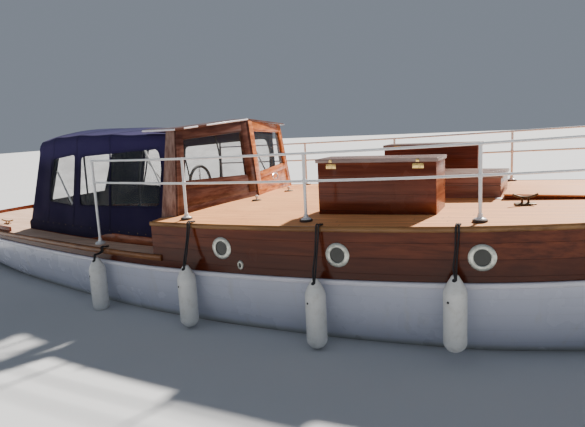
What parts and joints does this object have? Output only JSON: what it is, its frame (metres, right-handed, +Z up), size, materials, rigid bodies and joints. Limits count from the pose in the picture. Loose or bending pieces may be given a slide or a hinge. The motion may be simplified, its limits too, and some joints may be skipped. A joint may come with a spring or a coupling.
{
  "type": "wooden raised-deck motor cruiser",
  "caption": "Wooden raised-deck motor cruiser with a varnished deckhouse screen, canvas cockpit canopy, guard rails, deck boxes, keel, screw and rudder.",
  "frame": {"origin": "on the waterline, amidships, on the centreline", "axes": "+X towards the bow, +Y to port, +Z up"},
  "size_m": [11.062, 3.4179, 2.7293],
  "materials": {
    "hull_white": "gloss paint over planking",
    "antifouling": "matt bottom paint",
    "varnish": "gloss varnish on mahogany",
    "golden_trim": "varnished lighter moulding",
    "teak_deck": "bare laid planking with dark seams",
    "canvas": "navy acrylic canvas",
    "clear_pane": "flexible clear sheet",
    "window_glass": "clear glass",
    "white_rail": "white coated tube",
    "frame_tube": "satin stainless tube",
    "bronze": "cast bronze",
    "engine_iron": "enamelled block",
    "fender_white": "satin inflatable skin",
    "wheel_dark": "dark rim"
  },
  "bodies": {
    "root": {"hull_aft": "hull_white", "hull_mid": "hull_white", "hull_fore": "hull_white", "keel": "antifouling", "stem": "varnish", "raised_topsides": "varnish", "aft_topsides": "varnish", "foredeck_aft": "teak_deck", "foredeck_fore": "teak_deck", "aft_deck": "teak_deck", "strake_starboard": "hull_white", "strake_port": "hull_white", "gunwale_moulding_starboard": "golden_trim", "gunwale_moulding_port": "golden_trim", "aft_moulding": "golden_trim", "stern_toe_rail": "varnish", "coaming": "varnish", "cockpit_sole": "teak_deck", "companion_bulkhead": "varnish", "engine_block": "engine_iron", "dash": "varnish", "bench_starboard": "varnish", "bench_port": "varnish", "windscreen_starboard": "varnish", "windscreen_port": "varnish", "windscreen_glass_starboard": "window_glass", "windscreen_glass_port": "window_glass", "visor": "hull_white", "canopy": "canvas", "canopy_side_pane_starboard": "clear_pane", "canopy_side_pane_port": "clear_pane", "canopy_aft_pane": "clear_pane", "canopy_frame": "frame_tube", "guard_rail_aft_starboard": "white_rail", "guard_rail_aft_port": "white_rail", "guard_rail_waist_starboard": "white_rail", "guard_rail_waist_port": "white_rail", "guard_rail_mid_starboard": "white_rail", "guard_rail_mid_port": "white_rail", "guard_rail_fore_starboard": "white_rail", "guard_rail_fore_port": "white_rail", "deck_box_starboard": "varnish", "deck_box_port": "varnish", "low_locker": "varnish", "fore_hatch_frame": "varnish", "mooring_post": "varnish", "fender_1": "fender_white", "fender_2": "fender_white", "fender_3": "fender_white", "fender_4": "fender_white"},
    "cabin_door": {"cabin_door": "varnish"},
    "steering_wheel": {"steering_wheel": "wheel_dark"},
    "deck_box_lid_starboard": {"deck_box_lid_starboard": "varnish"},
    "deck_box_lid_port": {"deck_box_lid_port": "varnish"},
    "low_locker_lid": {"low_locker_lid": "varnish"},
    "fore_hatch_lid": {"fore_hatch_lid": "teak_deck"},
    "propeller": {"propeller": "bronze", "propeller_shaft": "bronze"},
    "rudder": {"rudder": "antifouling"}
  },
  "joints": [
    {"name": "propeller_spin", "type": "hinge", "parent": "root", "child": "propeller", "pos_m": [-4.5, 0, -0.42], "axis": [1, 0, 0], "continuous": true},
    {"name": "rudder_turn", "type": "hinge", "parent": "root", "child": "rudder", "pos_m": [-4.83, 0, -0.42], "axis": [0, 0, 1], "range_deg": [-35, 35]},
    {"name": "wheel_turn", "type": "hinge", "parent": "root", "child": "steering_wheel", "pos_m": [-1.18, -0.457, 1.246], "axis": [1, 0, 0], "range_deg": [-350, 350]},
    {"name": "cabin_door_swing", "type": "hinge", "parent": "root", "child": "cabin_door", "pos_m": [-1.075, 0.302, 0.6], "axis": [0, 0, -1], "range_deg": [0, 100]},
    {"name": "box_lid_starboard_lift", "type": "hinge", "parent": "root", "child": "deck_box_lid_starboard", "pos_m": [1.166, -0.767, 1.5146], "axis": [-1, 0, 0], "range_deg": [0, 95]},
    {"name": "box_lid_port_lift", "type": "hinge", "parent": "root", "child": "deck_box_lid_port", "pos_m": [1.2225, 0.767, 1.5307], "axis": [1, 0, 0], "range_deg": [0, 95]},
    {"name": "locker_lid_lift", "type": "hinge", "parent": "root", "child": "low_locker_lid", "pos_m": [1.15, 0, 1.2895], "axis": [0, -1, 0], "range_deg": [0, 95]},
    {"name": "hatch_lid_lift", "type": "hinge", "parent": "root", "child": "fore_hatch_lid", "pos_m": [3.08, 0, 1.1465], "axis": [0, 1, 0], "range_deg": [0, 95]}
  ],
  "couplings": [
    {"joint": "wheel_turn", "follows": "rudder_turn", "ratio": 10}
  ]
}
